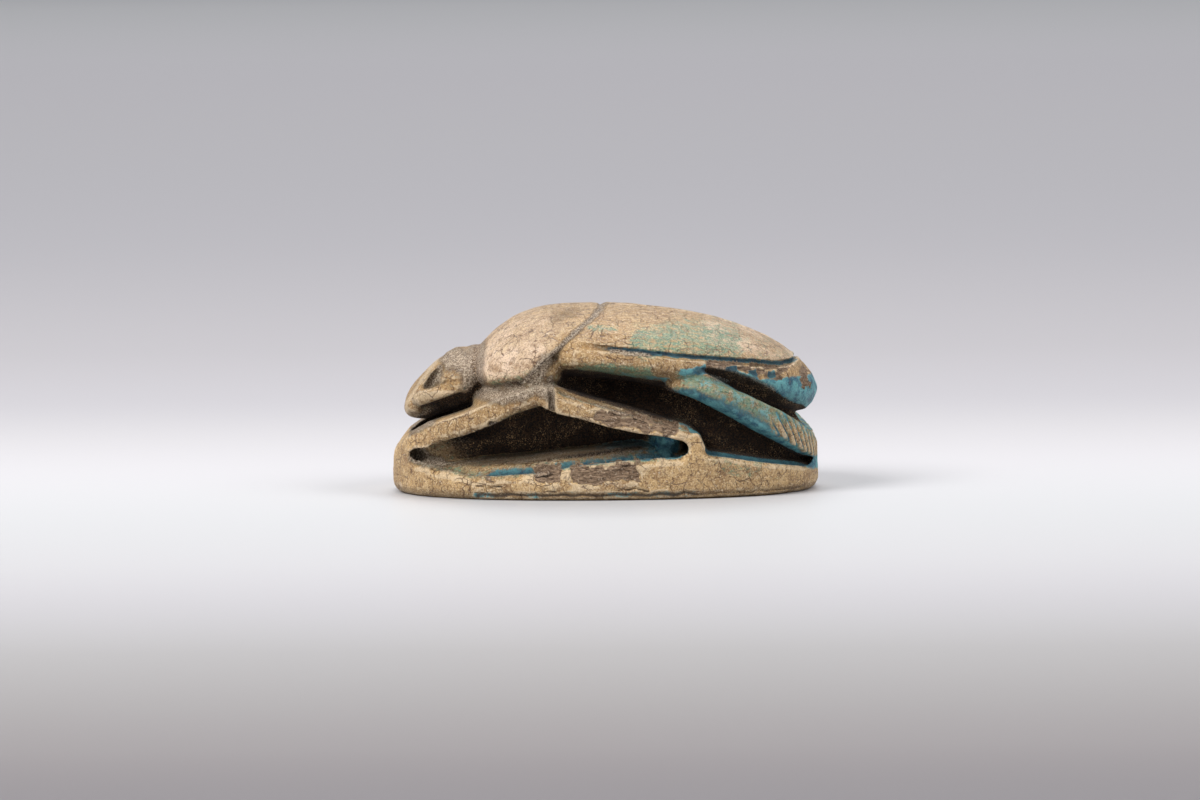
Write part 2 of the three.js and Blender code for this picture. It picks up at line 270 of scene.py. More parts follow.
# %% [markdown]
# ## An uneven, hand-cut surface
# No face of a hand-carved stone is true: scraping leaves broad waves and short tool marks, and wear opens
# fine pores. Three Displace modifiers, each with a cloud texture of that size, put all of it on the skin
# before anything is cut. It could be sculpted by hand, but this is even and the same at every run.
# %% Uneven surface
UNEVENNESS = [  # name, size of the lumps and strength in millimetres
    ("broad_waves", 2.4, 0.060),
    ("tool_marks", 0.9, 0.030),
    ("worn_pores", 0.34, 0.016),
]

for name, lump_size, strength in UNEVENNESS:
    texture = bpy.data.textures.new(name, "CLOUDS")
    texture.noise_scale = lump_size
    apply_modifier(scarab, "DISPLACE", texture=texture, strength=strength, mid_level=0.5)
print(f"{len(UNEVENNESS)} scales of unevenness")

# %% [markdown]
# ## Marking out
# A carver marks the side of the block and works to the marks. The same is done here: each mark is a pair
# of percentages on the side view, and a field is a number for every point of the skin, such as how close
# it is to a marked line. One field both moves the skin and later colours it, so dirt and glaze sit where
# the cuts are.
# %% Fields on the skin
def array_of(collection, name):
    """One vector for each vertex, as rows of numbers."""
    rows = np.empty(len(collection) * 3, np.float32)
    collection.foreach_get(name, rows)
    return rows.reshape(-1, 3).astype(float)


def ease(value, start, end):
    """0 before start, 1 after end, with a soft change between."""
    share = np.clip((value - start) / (end - start), 0, 1)
    return share * share * (3 - 2 * share)


def grain(points, size, seed=0.0):
    """Smooth noise from about -1 to 1, with lumps of this size in millimetres."""
    shift = Vector((seed * 3.1, seed * 5.7, seed * 7.3))
    return np.array([noise.noise(Vector(point) / size + shift) for point in points])


def marked(marks):
    """Marks in percent of the half length and of the height, in millimetres."""
    return np.array(marks, float) * (HALF_LENGTH / 100, HEIGHT / 100)


def line_distance(side, marks):
    """How far each point of the side view is from a marked line."""
    line = marked(marks)
    nearest = np.full(len(side), np.inf)
    for start, end in zip(line[:-1], line[1:]):
        run = end - start
        share = np.clip((side - start) @ run / (run @ run), 0, 1)
        nearest = np.minimum(nearest, np.hypot(*(side - start - share[:, None] * run).T))
    return nearest


def on_line(side, marks, width, soft):
    """1 on a marked line of this width, fading to 0 over the soft distance."""
    return 1 - ease(line_distance(side, marks), width / 2, width / 2 + soft)


def strongest(side, lines):
    """The strongest of several marked lines, each with its width, soft edge and strength or depth."""
    strengths = [strong * on_line(side, marks, width, soft) for marks, width, soft, strong in lines]
    return np.maximum.reduce(strengths)


def below_line(points, marks):
    """How far each point is below a marked line, in millimetres."""
    return np.interp(points[:, 0], *marked(marks).T) - points[:, 2]


def in_patch(side, left, right, bottom, top, soft):
    """1 inside a rectangle given in percent, fading over the soft distance."""
    (left, bottom), (right, top) = marked([(left, bottom), (right, top)])
    x, z = side.T
    across = ease(x, left, left + soft) * (1 - ease(x, right - soft, right))
    return across * ease(z, bottom, bottom + soft) * (1 - ease(z, top - soft, top))


def side_view(points, raggedness, size, seed=0.0):
    """The points seen from the side, shifted a little by noise, for lines and patches with ragged edges."""
    side = points[:, [0, 2]].copy()
    side[:, 0] += raggedness * grain(points, size, seed + 1)
    side[:, 1] += raggedness * grain(points, size, seed + 2)
    return side


def near_side(points):
    """1 on the left flank, 0 on the right one."""
    return ease(-points[:, 1], 0.0, 0.6)


def outside(points, normals):
    """1 on skin that faces away from the middle of the beetle, 0 inside the hollows."""
    radial = points * (0.5, 1, 1) - (0, 0, HEIGHT * 0.4)
    radial /= np.linalg.norm(radial, axis=1)[:, None]
    return ease((radial * normals).sum(axis=1), 0.1, 0.5)


def move_skin(thing, points):
    thing.data.vertices.foreach_set("co", points.astype(np.float32).ravel())
    thing.data.update()


skin = array_of(scarab.data.vertices, "co")
print(f"{len(skin)} points to mark out")

# %% [markdown]
# ## Floors and ends of the openings
# On the real scarab the openings between the legs aren't clean slots: stone was left standing, so that
# their floors bank up towards the middle, and at each end they run out shallow, as a narrow tool leaves
# them. Both are made by moving points: up, where the bank is, and outwards, towards the oval wall of the
# base, at the ends. A boolean would give crisp forms, which no longer exist on a piece this worn.
# %% Banks and ends
FRONT_LEG_UNDER = [(-79, 28.1), (-65.4, 32.8), (-51.8, 39), (-41, 45.2), (-31, 49.5)]
MIDDLE_LEG_TOP = [(-19, 58.8), (-11.3, 55.7), (2, 51), (15.6, 46.5), (29.2, 41.6), (39.3, 38.4)]
WINDOW_FLOOR = [(-88, 20.6), (-79, 18.2), (-60, 14.5), (-34.4, 16.8), (-18, 20), (15.6, 24), (34, 25)]
HIND_FLOOR = [(48, 25), (56.2, 23.2), (69.6, 20.3), (83, 17.7), (94, 15.2)]
BANK = [  # percent along the side, and how high the bank is there, in millimetres
    (-86, 0.0), (-76, 0.22), (-60, 0.46), (-34, 0.44), (-10, 0.34), (14, 0.40), (28, 0.56), (34, 0.0),
]
BANK_REACH = 1.3  # millimetres above the floor, over which the bank dies out
TIPS = [  # where the openings run out: from, to and end along the side, bottom, top, how much shallower
    (-42, -88, -110, 6, 36, 0.60),
    (10, 31, 42, 14, 42, 0.92),
]
TIP_START = 0.32  # inside the wall, in millimetres
OVAL_SQUARENESS = 2.25  # of the base: 2 is an ellipse


def inset(points):
    """How far, in millimetres, each point is inside the upright wall of the oval base."""
    along = np.clip(np.abs(points[:, 0]) / HALF_LENGTH, 0, 1)
    wall = HALF_WIDTH * (1 - along ** OVAL_SQUARENESS) ** (1 / OVAL_SQUARENESS)
    return wall - np.abs(points[:, 1])


def bank_field(points):
    """How far, in millimetres, stone left standing raises the floor inside the openings."""
    x, y, z = points.T
    floor = np.interp(x, *marked(WINDOW_FLOOR).T)
    rise = np.interp(x, *(np.array(BANK) * (HALF_LENGTH / 100, 1)).T) * ease(inset(points), 0.1, 2.4)
    return rise * (1 - ease(z, floor, floor + BANK_REACH)) * ease(z, 0.5, 0.9)


def shallow_tips(points):
    """The same points, with the ends of the openings drawn out towards the wall."""
    x, y, z = points.T
    amount = np.zeros(len(points))
    for start, full, end, bottom, top, share in TIPS:
        (start, bottom), (full, top), (end, _) = marked([(start, bottom), (full, top), (end, 0)])
        level = ease(z, bottom, bottom + 0.5) * (1 - ease(z, top - 0.5, top))
        amount = np.maximum(amount, share * level * ease(x, start, full) * (1 - ease(x, full, end)))
    amount *= ease(np.abs(y), 0.9, 1.5)
    drawn = points.copy()
    drawn[:, 1] += np.sign(y) * amount * np.clip(inset(points) - TIP_START, 0, None)
    return drawn


skin = shallow_tips(skin)
bank = bank_field(skin)
skin[:, 2] += bank
move_skin(scarab, skin)
print(f"floors raised by {bank.max():.2f} mm at most")

# %% [markdown]
# ## Cut lines
# Fine lines part the wing cases and frame the eye. The remesh softened them, so they are cut again, each
# to its own depth. The line behind the shield and the step over the tail are the other way round: they
# are so full of old dirt that little of them still shows, so there the skin is moved outwards.
# %% Cut lines
SUTURE = [(4, 103.5), (-14, 88), (-28, 73), (-38, 62)]
EDGE_LINE = [
    (-11, 81.8), (4, 80), (17, 78.4), (32, 76.1), (48, 74.2), (66, 71.8), (79, 69.7), (87, 69.4), (91, 71.5),
]
TAIL_STEP = [(88, 70), (91, 71.5), (94, 73)]
HEAD_CUTS = [  # behind the rim, above the eye and below it: marks, width, soft edge, depth in millimetres
    ([(-81.5, 60), (-79, 64), (-76.5, 68)], 0.02, 0.20, 0.07),
    ([(-86, 57), (-78, 59.6), (-67, 61)], 0.02, 0.12, 0.09),
    ([(-85, 45), (-78, 48), (-67, 52)], 0.10, 0.20, 0.14),
]
GROOVE_DEPTH = 0.03
FILL_DEPTH = 0.07


def cut(thing, depth_rule):
    """Moves every point of the skin inwards by the depth, in millimetres, that the rule gives."""
    points = array_of(thing.data.vertices, "co")
    normals = array_of(thing.data.vertex_normals, "vector")
    depth = depth_rule(points, normals)
    move_skin(thing, points - normals * depth[:, None])
    print(f"{np.count_nonzero(depth > 0.01)} points cut, {depth.max():.2f} mm at most")


def line_depth(points, normals):
    side = points[:, [0, 2]]
    filled = FILL_DEPTH * np.maximum(on_line(side, SUTURE, 0.16, 0.12), on_line(side, TAIL_STEP, 0.10, 0.20))
    groove = GROOVE_DEPTH * on_line(side, EDGE_LINE, 0.08, 0.12) * outside(points, normals)
    return np.maximum(groove, strongest(side, HEAD_CUTS)) - filled


cut(scarab, line_depth)

# %% [markdown]
# ## Rubbed lips
# Fingers and cords have rubbed back the edges of the openings, most on the floor of the front one and on
# top of the middle leg. The skin near each marked edge moves in, only close to the outer wall, and a few
# passes of Smooth run it into what is round it.
# %% Rub the lips back
LIPS = [  # marks, width, reach and depth in millimetres
    (FRONT_LEG_UNDER, 0.0, 0.32, 0.17),
    (MIDDLE_LEG_TOP, 0.0, 0.42, 0.30),
    (WINDOW_FLOOR, 0.0, 0.46, 0.34),
    (HIND_FLOOR, 0.0, 0.28, 0.14),
]
LIP_PASSES = 3


def lip_field(points):
    """How far the edges of the openings between the legs are worn back, in millimetres."""
    side = side_view(points, 0.05, 0.6, seed=6)
    return strongest(side, LIPS) * (1 - ease(inset(points), 0.6, 1.3))


cut(scarab, lambda points, normals: lip_field(points))
apply_modifier(scarab, "SMOOTH", factor=SMOOTHING, iterations=LIP_PASSES)

# %% [markdown]
# ## Flakes
# Steatite splits along its bed, and the near side has lost flakes from the base, the middle leg, the edge
# under the wing case and the tail. Each is a marked patch whose outline is made ragged by noise at two
# sizes. Its floor steps down in flat blocks, longer than they are high, as laminated stone breaks.
# %% Flakes
FLAKES = [  # on the base: left, right, bottom, top in percent, and depth in millimetres
    (-33.5, -20.0, 9.5, 18.8, 0.17),
    (-17.2, 1.0, 9.3, 19.6, 0.15),
    (-0.5, 15.5, 10.2, 20.8, 0.19),
    (12.0, 24.0, 17.6, 22.4, 0.09),
    (-58.5, -50.5, 9.5, 13.6, 0.08),
    (-46.0, -38.5, 10.0, 13.4, 0.05),
]
LONG_FLAKES = [  # on the middle leg and the tail: marks, width, soft edge, depth in millimetres
    ([(-3, 45.4), (14, 42.0), (31, 37.2)], 0.42, 0.14, 0.13),
    ([(93.4, 64), (94.4, 57)], 0.24, 0.16, 0.12),
]
EDGE_FLAKE = ([(50, 71.4), (62, 69.6), (74, 66.8), (81, 64.6)], 0.40, 0.16, 0.12)  # under the wing case


def layered(points):
    """Blocks from 0.4 to 1 that lie along the bed of the stone, as laminated stone breaks."""
    blocks = [noise.cell(Vector((x / 0.55 + 0.3 * z, y / 2, z / 0.16))) for x, y, z in points]
    return 0.70 + 0.30 * np.array(blocks)


def flake_field(points):
    """How deep, in millimetres, the flakes are that have broken from the near side."""
    side = side_view(points, 0.17, 0.55) + side_view(points, 0.08, 0.17, seed=11) - points[:, [0, 2]]
    patches = np.maximum.reduce([deep * in_patch(side, *patch, 0.09) for *patch, deep in FLAKES])
    under_edge = strongest(side, [EDGE_FLAKE]) * ease(below_line(points, EDGE_LINE), 0.03, 0.10)
    depth = np.maximum.reduce([patches, strongest(side, LONG_FLAKES), under_edge])
    rough = 0.85 + 0.35 * grain(points * (0.45, 1, 1), 0.16, seed=9)
    return depth * rough * layered(points) * near_side(points)


print(f"{len(FLAKES)} patches and {len(LONG_FLAKES) + 1} long flakes marked")

# %% [markdown]
# ## Cracks and notches
# Cracks run along the side of the base where it is about to split, a pit is sunk in the front leg, and a
# thin ledge runs round near the ground. The notches on the hind legs are the beetle's comb of bristles: a
# cosine wave across the leg, squared up, makes them all at once and at an even pitch. Flakes, cracks and
# notches are cut together, each point to the deepest of them, so that no cut is made twice.
# %% Cut flakes, cracks and notches
SPLITS = [  # cracks that run along the side of the base
    [(-60, 7.2), (-50, 6.6), (-40, 7.0), (-32, 6.4)],
    [(-57, 5.0), (-44, 4.6), (-36, 5.2)],
    [(-30, 5.6), (-12, 5.9), (4, 6.3), (20, 5.4)],
    [(16, 7.6), (26, 6.9), (36, 6.2)],
]
LEDGE = [(-60, 2.6), (-40, 2.8), (0, 3.3), (42, 3.2)]
OPEN_CUTS = [  # the pit on the front leg and the ledge: marks, width, soft edge, strength
    ([(-52.6, 41.2), (-51, 40.8)], 0.10, 0.10, 1),
    (LEDGE, 0.05, 0.10, 0.75),
    ([(42, 3.2), (72, 2.6), (92, 2.4)], 0.0, 0.07, 0.75),
]
SPLIT_DEPTH = 0.07
NOTCH_PITCH = 0.32  # along the skin, near the end of the hind leg
NOTCH_LEAN = 0.40
NOTCH_REGION = [(76, 37), (84, 34.5), (92, 27.5), (99, 22)]
NOTCH_DEPTH = 0.065


def split_field(points):
    """1 in the cracks along the base, the pit on the front leg and under the ledge near the ground."""
    side = side_view(points, 0.10, 0.5)
    gaps = ease(grain(points, 0.7, seed=13), -0.3, 0.2)
    cracks = strongest(side, [(marks, 0.0, 0.06, 1) for marks in SPLITS]) * gaps
    return np.maximum(cracks, strongest(side, OPEN_CUTS)) * near_side(points)


def notch_field(points):
    """1 at the bottom of the notches on the end of the hind legs."""
    along = np.abs(points[:, 1]) - NOTCH_LEAN * points[:, 2] + 0.05 * grain(points, 0.9, seed=3)
    wave = 0.5 + 0.5 * np.cos(2 * math.pi * along / NOTCH_PITCH)
    region = on_line(points[:, [0, 2]], NOTCH_REGION, 1.05, 0.25)
    return ease(wave, 0.45, 0.95) * region * ease(points[:, 0], 6.3, 7.0)


def wear_depth(points, normals):
    worn = np.maximum(flake_field(points), SPLIT_DEPTH * split_field(points))
    return np.maximum(worn, NOTCH_DEPTH * notch_field(points)) * outside(points, normals)


cut(scarab, wear_depth)

# %% [markdown]
# ## Even out the skin
# The remesh put as many faces on the plain underside as on the legs. Decimating collapses the flat ones
# first, which brings the piece under 200,000 triangles and keeps the fine skin where there is carving.
# %% Decimate
MOST_TRIANGLES = 196000

faces_now = 2 * len(scarab.data.polygons)
apply_modifier(scarab, "DECIMATE", ratio=MOST_TRIANGLES / faces_now, use_collapse_triangulate=True)
bpy.ops.object.shade_smooth()
print(f"{faces_now} triangles decimated to {len(scarab.data.polygons)}")

# %% [markdown]
# ## Where dirt settles, hands rub and shade falls
# Dust and old glaze stay in hollows, and handling polishes what stands out. Rays sent out from each point
# tell how closed in it is, within arm's reach and close by, and comparing each point with its neighbours
# tells which edges stick out. How closed in a point is also sets the painted shade in its colour.
# Blender's own ambient occlusion node would do while rendering, but what is kept on the mesh goes wherever
# the piece goes.
# %% Hollows and edges
RAYS = 28
FAR_REACH = 3.2
NEAR_REACH = 0.8
LIFT = 0.01
HOLLOW_PASSES = 8
CREVICE_PASSES = 4
EDGE_PASSES = 10


def ray_directions(count):
    """Directions over half a sphere, denser towards its pole, in an even spiral."""
    turns = np.arange(count) * math.pi * (3 - math.sqrt(5))
    across = np.sqrt((np.arange(count) + 0.5) / count)
    return np.column_stack([across * np.cos(turns), across * np.sin(turns), np.sqrt(1 - across ** 2)])


def closed_in(thing):
    """How closed in each point is, from 0 to 1, within the far reach and within the near one."""
    corners = [vertex.co for vertex in thing.data.vertices]
    tree = BVHTree.FromPolygons(corners, [face.vertices for face in thing.data.polygons])
    directions = [Vector(d) for d in ray_directions(RAYS)]
    far = np.zeros(len(thing.data.vertices))
    near = np.zeros(len(thing.data.vertices))
    for i, vertex in enumerate(thing.data.vertices):
        turn = Vector((0, 0, 1)).rotation_difference(vertex.normal)
        start = vertex.co + vertex.normal * LIFT
        for direction in directions:
            distance = tree.ray_cast(start, turn @ direction, FAR_REACH)[3]
            if distance is not None:
                far[i] += 1
                near[i] += distance < NEAR_REACH
    return far / RAYS, near / RAYS


def neighbour_mean(thing, values, passes):
    """The values, each mixed with its neighbours' this many times."""
    ends = np.empty(len(thing.data.edges) * 2, np.int32)
    thing.data.edges.foreach_get("vertices", ends)
    first, second = ends.reshape(-1, 2).T
    count = len(thing.data.vertices)
    degree = np.bincount(first, minlength=count) + np.bincount(second, minlength=count)
    for _ in range(passes):
        total = np.bincount(first, values[second], count) + np.bincount(second, values[first], count)
        values = 0.5 * values + 0.5 * total / degree
    return values


def sharpness(points, normals):
    """Above 0 on edges that stick out, below 0 in grooves, in millimetres."""
    around = np.column_stack([neighbour_mean(scarab, axis, EDGE_PASSES) for axis in points.T])
    return ((points - around) * normals).sum(axis=1)


skin = array_of(scarab.data.vertices, "co")
facing = array_of(scarab.data.vertex_normals, "vector")
hollow, crevice = closed_in(scarab)
hollow = neighbour_mean(scarab, hollow, HOLLOW_PASSES)
crevice = neighbour_mean(scarab, crevice, CREVICE_PASSES)
edge = sharpness(skin, facing)
print(f"hollow to {hollow.max():.2f}, crevice to {crevice.max():.2f}, edge to {edge.max():.3f} mm")

# %% [markdown]
# ## Where each cover lies
# Dirt, dust and glaze ask the same things of a point: is it on the hind leg, on the floor of an opening,
# just inside its mouth, on the line under the wing case? The answers are worked out once, from the same
# marks that the cuts were made by. They could be painted by hand with a brush, but a painted mask would
# have to be done again after each change of shape. In the rules below, ease turns millimetres, or how
# hollow a point is, into 0 to 1, and each strength says how much of that cover there is.
# %% Places on the skin
LEG_AXIS = [(28, 60), (42, 58.5), (56, 51.5), (69, 43.5), (83, 34), (93, 25.5), (99, 20)]
LEG_WIDTH = 1.15
LEG_SOFT = 0.25

side = side_view(skin, 0.06, 0.5, seed=4)
x, y, z = skin.T
tailward = ease(x, -4.5, 6.5)
leg = on_line(side, LEG_AXIS, LEG_WIDTH, LEG_SOFT)
leg = np.maximum(leg * ease(x, 2.2, 3.2) * ease(np.abs(y), 1.5, 2.4), leg * ease(x, 6.6, 7.4))
ridges = on_line(side, NOTCH_REGION, 0.45, 0.25) * ease(x, 6.2, 7.0) * leg
edge_line = on_line(side, EDGE_LINE, 0.07, 0.11) * outside(skin, facing)
lip = ease(inset(skin), 0.12, 0.35) * (1 - ease(inset(skin), 0.7, 1.3))
floor_rim = on_line(side, WINDOW_FLOOR, 0.50, 0.25) * ease(x, -6.0, -4.0)
floor_rim = np.maximum(floor_rim, on_line(side, HIND_FLOOR, 0.40, 0.25))
bank = ease(bank_field(skin), 0.08, 0.30) * ease(facing[:, 2], 0.1, 0.5)
rubbed_lip = lip_field(skin)
flaked = ease(flake_field(skin), 0.02, 0.07)


def keep(name, values):
    """Stores a field on the mesh, where the finish can read it."""
    attribute = scarab.data.attributes.new(name, "FLOAT", "POINT")
    attribute.data.foreach_set("value", values.astype(np.float32))
    print(f"{name}: {(values > 0.5).mean():.0%} of the points")


print(f"hind legs {(leg > 0.5).mean():.0%}, flaked {(flaked > 0.5).mean():.0%} of the points")

# %% [markdown]
# ## Packed dirt
# Dirt fills what is hollow and under the legs, and is thin on rubbed lips, on the banked floors and at
# the shallow ends. Some is marked out: the hollow over the hind leg, and the neck. Last, it is
# spread a little past its own edge, as loose dirt spills.
# %% Dirt
LEG_TOP = [(-98, 24), (-92, 32), (-81, 39.5), (-65, 46), (-52, 53), (-36, 59.5), (-25, 62), (100, 66)]
HIND_HOLLOW = [(46, 69), (52, 66.5), (66, 60), (80, 51), (92, 42)]
NECK = [(-60, 84), (-60.5, 68), (-58, 56)]
LEFT_TIP = [(-92, 20), (-74, 20)]
RIGHT_TIP = (16, 40, 16, 44)
SPILL_PASSES = 24

under_legs = ease(below_line(skin, LEG_TOP), 0.10, 0.40) * ease(z, 0.9, 1.2)
deep = ease(inset(skin), 0.75, 1.35) * ease(hollow, 0.18, 0.42) * under_legs
dirt = np.maximum(ease(hollow, 0.46, 0.86), 0.85 * deep)
dirt = dirt * (1 - 0.8 * ease(rubbed_lip, 0.03, 0.12)) * (1 - 0.7 * bank)
over_leg = on_line(side, HIND_HOLLOW, 0.20, 0.35)
dirt = np.maximum(dirt, 0.8 * over_leg * ease(hollow, 0.30, 0.5) * (1 - leg))
# Dirt and painted shade: the dark crease of the neck, under the front of the shield.
dirt = np.maximum(dirt, 0.52 * on_line(side, NECK, 0.10, 0.45))
tip = 1 - ease(line_distance(side, LEFT_TIP), 0.1, 1.8)
tip = np.maximum(tip, in_patch(side, *RIGHT_TIP, 0.4))
dirt = dirt * (1 - 0.55 * tip)
dirt = np.maximum(dirt, 0.85 * neighbour_mean(scarab, dirt, SPILL_PASSES))
keep("dirt", dirt)

# %% [markdown]
# ## Blue glaze
# The blue was once everywhere, and now lies only where nothing rubbed it: round the mouths of the
# hollows, in the line along the wing case, on the hind legs and in their notches, under the tail, and on
# the floors. Scraps of it stand round the broken edge. Where it pooled it is nearly navy.
# %% Blue
TAIL = (66, 104, 40, 63.5)
WINDOW_END = (18, 36, 22, 40)
ABOVE_LEG = (34, 56, 64, 71)
UNDER_EDGE = [(46, 69.5), (58, 67), (70, 62)]
GLAZE_SCRAPS = [(42, 49.5, 65.5, 70.4), (55.6, 62.6, 65.5, 69.8), (66, 71.5, 63.8, 67.8), (75, 80, 62, 66)]

under_axis = ease(below_line(skin, LEG_AXIS), -0.10, 0.25)
mouth = ease(hollow, 0.30, 0.50) * (1 - ease(hollow, 0.62, 0.80))
blue = np.maximum.reduce([
    mouth * (0.10 + 0.75 * tailward),  # round the mouths of the openings
    edge_line * ease(x, -1.5, 1.5),
    leg * (0.46 + 0.44 * under_axis),  # most on the underside of the leg
    in_patch(side, *WINDOW_END, 0.3) * ease(inset(skin), 0.15, 0.4),
    0.9 * in_patch(side, *ABOVE_LEG, 0.2) * ease(grain(skin, 0.5, seed=31), -0.3, 0.2),
    0.85 * on_line(side, UNDER_EDGE, 0.10, 0.20),
    0.90 * in_patch(side, *TAIL, 0.2) * (1 - leg),
    floor_rim * lip * ease(hollow, 0.12, 0.30),  # just inside the openings, on their floors
    bank * (0.30 + 0.45 * ease(x, -1.5, 1.0)),
    0.75 * on_line(side, MIDDLE_LEG_TOP, 0.30, 0.15) * lip * ease(x, 0.8, 2.2),
])
blue = np.maximum(blue * (1 - 0.6 * ridges), 1.4 * notch_field(skin))  # in the notches, not between
under_ledge = on_line(side, LEDGE, 0.12, 0.16) * ease(grain(skin, 1.2, seed=21), -0.5, 0.3)
blue = np.maximum(blue, 0.50 * under_ledge)

torn = side_view(skin, 0.12, 0.3, seed=23)
scraps = np.maximum.reduce([in_patch(torn, *patch, 0.08) for patch in GLAZE_SCRAPS]) * near_side(skin)
keep("blue", np.maximum(blue * (1 - 0.75 * flaked), 1.3 * scraps))
keep("navy", np.maximum.reduce([
    edge_line,
    0.9 * scraps,
    0.8 * on_line(side, LEG_AXIS, 0.05, 0.25) * leg,  # along the middle of the hind leg
    0.75 * floor_rim * lip,
]))

# %% [markdown]
# ## Green bloom
# Between blue glaze and bare stone is a thin green bloom: one large patch on the wing case, smaller ones
# on its flange, the shield and the base, all of the hind leg, and faint traces of it anywhere.
# %% Green
GREEN_LINES = [  # marks, width and soft edge in millimetres, strength
    ([(18, 83), (38, 85), (58, 81)], 0.45, 1.0, 0.84),  # the patch on the wing case
    ([(40, 86), (90, 74)], 0.4, 0.9, 0.50),
    ([(-10, 68.5), (6, 68), (20, 67)], 0.30, 0.40, 0.84),  # on its flange
    ([(-52, 61), (-40, 64), (-32, 68)], 0.10, 0.35, 0.60),  # under the shield
    ([(56, 18), (62, 13), (70, 16)], 0.20, 0.60, 0.62),  # on the base
]
GREEN_PATCHES = [  # left, right, bottom, top in percent, soft edge in millimetres, strength
    (-9, 7, 87, 93.5, 0.16, 0.72),
    (-52, -26, 56, 70, 0.35, 0.55),
    (76, 86, 6, 12, 0.3, 0.75),
]
keep("green", np.maximum.reduce([
    strongest(side, GREEN_LINES),
    *[strength * in_patch(side, *patch) for *patch, strength in GREEN_PATCHES],
    0.84 * leg * (1 - 0.45 * ridges),
    0.60 * ease(rubbed_lip, 0.04, 0.16),
    0.45 * ease(hollow, 0.22, 0.36),
    0.40 * ease(grain(skin, 1.7, seed=8), 0.25, 0.6),  # faint traces anywhere
]))

# %% [markdown]
# ## Dust
# Grey dust lies along the cut lines, on shelves inside the openings, on the back of the head, and in
# crevices towards the head. It thins out over some distance, so it is spread by taking the mean of
# neighbours many times. A worn streak on top of the shield is laid over it afterwards.
# %% Dust
DUSTY_LINES = [  # marks, width and soft edge in millimetres, strength
    (SUTURE, 0.06, 0.16, 1),
    ([(-27, 74), (-32, 66), (-33, 60), (-27, 57)], 0.15, 0.40, 1),  # behind the shield's corner
    ([(-60, 80), (-60.5, 68), (-59, 58)], 0.10, 0.60, 1),  # in front of the shield
    ([(-58, 56), (-48, 54.5), (-38, 57)], 0.10, 0.50, 1),  # below it
    ([(52, 66), (62, 62), (76, 55)], 0.20, 0.40, 1),  # over the hind leg
    ([(-90, 20), (-76, 18)], 0.05, 0.40, 1),  # at the front end of the opening
    ([(-91, 36), (-82, 42)], 0.30, 0.25, 1),  # on the front foot
    ([(-79, 61), (-77, 67)], 0.10, 0.20, 1),  # behind the rim of the head
    ([(-72, 72), (-64, 70), (-62, 60)], 0.20, 0.70, 1),  # on the back of the head
    ([(-25, 64), (-24.5, 50)], 0.14, 0.12, 1),  # between front and middle leg
    ([(3, 79.0), (12, 77.4), (21, 76.4)], 0.08, 0.08, 1),  # under the line of the wing case
]
SHIELD_WEAR = [(-25, 94.5), (-18, 96.5), (-13, 97)]
DRIFT_PASSES = 30

shelf = ease(facing[:, 2], 0.35, 0.8) * ease(hollow, 0.30, 0.50) * (1 - ease(x, 0.5, 5))
leg_slope = on_line(side, MIDDLE_LEG_TOP, 0.30, 0.20) * lip * (1 - ease(x, 0.5, 3.0))
headward = 1 - ease(x, -5.6, -4.9)
above_legs = ease(z - x * 0.25, 4.4, 5.2)
dust = np.maximum.reduce([
    strongest(side, DUSTY_LINES),
    0.6 * shelf,
    0.8 * leg_slope,
    0.52 * headward * above_legs * (0.6 + 0.4 * ease(crevice, 0.02, 0.25)),  # over the head
    0.75 * ease(crevice, 0.30, 0.50) * (1 - tailward),
])
dust = np.maximum(dust, 0.50 * neighbour_mean(scarab, dust, DRIFT_PASSES))
keep("dust", np.maximum(dust, 0.48 * on_line(side, SHIELD_WEAR, 0.12, 0.30) * near_side(skin)))

# %% [markdown]
# ## The stone itself
# The rest say what the bare stone is like at each point: broken, split, rubbed pale on what stands out,
# with painted highlights on the rim and eye of the head, darkened with painted shade where it is closed
# in or faces down, out of reach of any light, and on the lower flange, polished on the back, pale with a
# painted highlight where that polish shines most on the shield and the wing case, or yellower low down.
# %% Stone
SHIELD_MARKS = [
    [(-38, 101), (-33, 103.5), (-28, 105.5)],
    [(-39.5, 98.5), (-34, 100.5)],
    [(2, 103), (12, 102.5)],
]
# EYE_TOP and HEAD_RIM mark painted highlights on the top of the eye and the rim of the head.
EYE_TOP = [(-91, 51), (-82, 54.5), (-70, 55.5)]
HEAD_RIM = [(-93, 48), (-88, 57), (-82, 66), (-77, 74)]
# FLANGE marks the flange under the wing case, which is darkened with painted shade.
FLANGE = [(-12, 69.5), (20, 68.5), (44, 68.5)]
POCKET = [(50, 67), (66, 60), (82, 52)]
# Where a painted highlight lies on the shield and on the wing case.
SHIELD_PAINTED_HIGHLIGHT = [(-54, 66), (-44, 76), (-35, 84)]
WING_PAINTED_HIGHLIGHT = [(52, 87), (70, 81), (84, 75)]

strokes = strongest(side_view(skin, 0.10, 0.3, seed=17), [(marks, 0.02, 0.10, 0.6) for marks in SHIELD_MARKS])
dark_lines = np.maximum(0.75 * on_line(side, SUTURE, 0.03, 0.08), strokes * near_side(skin))
# Painted highlight: the rim of the head and the top of the eye are painted pale where light catches them.
head_painted_highlights = strongest(side, [(HEAD_RIM, 0.06, 0.10, 1), (EYE_TOP, 0.05, 0.10, 1)])
faces_down = ease(-facing[:, 2], -0.15, 0.6)
shield = ease(z / HEIGHT, 0.55, 0.70) * (1 - ease(side[:, 0] - 0.55 * (z - 4.4), -3.2, -2.4))
pocket = on_line(side, POCKET, 0.35, 0.50) * (1 - leg)

keep("flake", flaked * (1 - scraps))
# The near black of split is dirt in the cracks, the pit and the old lines, and painted shade in the ledge
# near the ground.
keep("split", np.maximum(split_field(skin), dark_lines))
